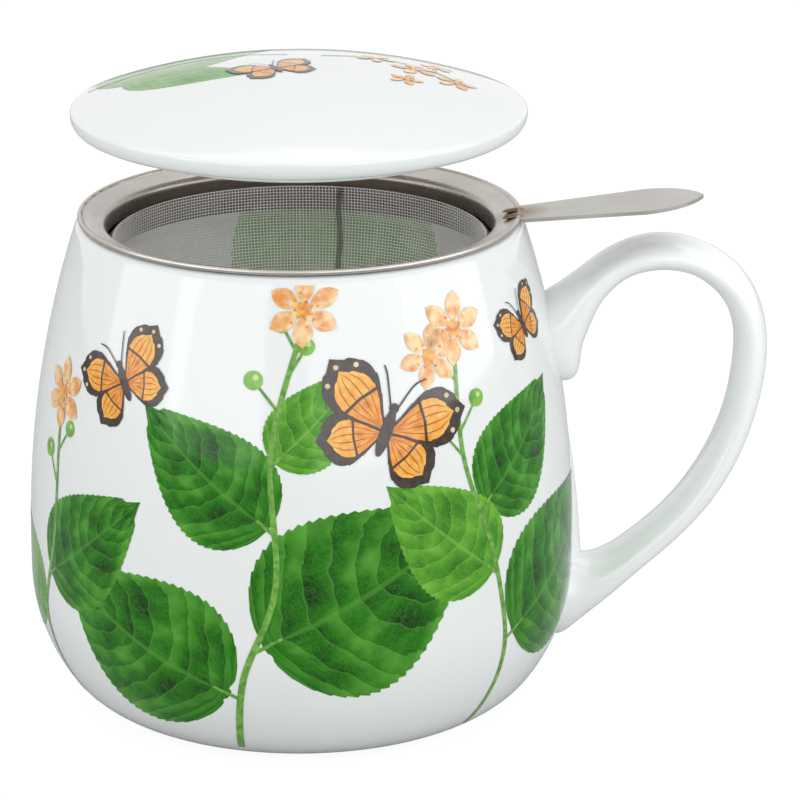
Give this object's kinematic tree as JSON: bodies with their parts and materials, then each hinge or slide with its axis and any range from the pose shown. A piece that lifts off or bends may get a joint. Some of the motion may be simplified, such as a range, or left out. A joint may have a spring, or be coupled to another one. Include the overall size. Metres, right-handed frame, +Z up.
{
  "type": "lidded tea mug with infuser",
  "caption": "Porcelain tea mug with a loop handle, a lift-out woven-wire strainer basket with a finger tab, and a domed lid shown lifted off above it.",
  "frame": {"origin": "centre of the foot ring's underside, on the table, on the axis of the mug", "axes": "+Z up along the mug's axis, +X towards the handle, +Y away from the viewer of the picture"},
  "size_m": [0.1346, 0.0994, 0.1183],
  "materials": {
    "porcelain": "glossy white glaze with a botanical transfer print",
    "steel_sheet": "satin pressed stainless sheet",
    "steel_mesh": "plain woven stainless wire, about 0.5 mm pitch",
    "steel_weld": "heat-tinted weld"
  },
  "bodies": {
    "mug": {"mug_body": "porcelain", "mug_handle": "porcelain"},
    "infuser": {"infuser_rim": "steel_sheet", "infuser_clamp_ring": "steel_sheet", "infuser_mesh_wall": "steel_mesh", "infuser_mesh_floor": "steel_mesh", "infuser_base_ring": "steel_sheet", "infuser_tab": "steel_sheet", "infuser_tab_welds": "steel_weld"},
    "lid": {"lid": "porcelain"}
  },
  "joints": [
    {"name": "infuser_lift", "type": "slide", "parent": "mug", "child": "infuser", "axis": [0, 0, 1], "range_m": [0, 0.075]},
    {"name": "lid_lift", "type": "slide", "parent": "infuser", "child": "lid", "axis": [0, 0, 1], "range_m": [-0.0155, 0.05]}
  ]
}
